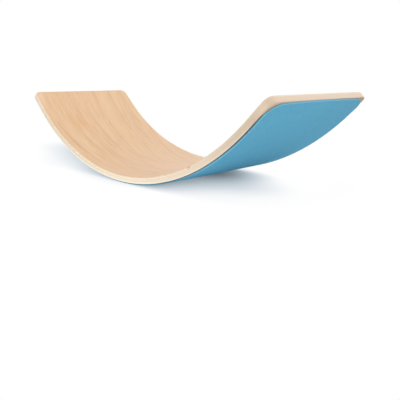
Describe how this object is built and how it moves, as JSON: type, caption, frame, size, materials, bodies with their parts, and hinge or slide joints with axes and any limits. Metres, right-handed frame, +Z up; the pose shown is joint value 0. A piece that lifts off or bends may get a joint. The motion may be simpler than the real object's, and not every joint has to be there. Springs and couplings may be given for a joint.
{
  "type": "balance board",
  "caption": "Curved rocker board of press-moulded beech plywood with rounded corners and blue felt on its convex face, for children to stand, sit and rock on.",
  "frame": {"origin": "under the middle of the board, on the line where the felt meets the floor when the board lies hollow side up", "axes": "+X along the board, +Y across it, +Z up, with the hollow side up"},
  "size_m": [0.8378, 0.3, 0.197],
  "materials": {
    "beech_long_grain": "satin",
    "beech_cross_grain": "satin",
    "felt_adhesive": "matte",
    "blue_wool_felt": "matte"
  },
  "bodies": {
    "root": {"standing_face_veneer": "beech_long_grain", "crossband_veneer_02": "beech_cross_grain", "core_veneer_03": "beech_long_grain", "crossband_veneer_04": "beech_cross_grain", "core_veneer_05": "beech_long_grain", "crossband_veneer_06": "beech_cross_grain", "core_veneer_07": "beech_long_grain", "crossband_veneer_08": "beech_cross_grain", "core_veneer_09": "beech_long_grain", "crossband_veneer_10": "beech_cross_grain", "rolling_face_veneer": "beech_long_grain", "felt_adhesive_film": "felt_adhesive", "felt_cover": "blue_wool_felt"}
  },
  "joints": []
}
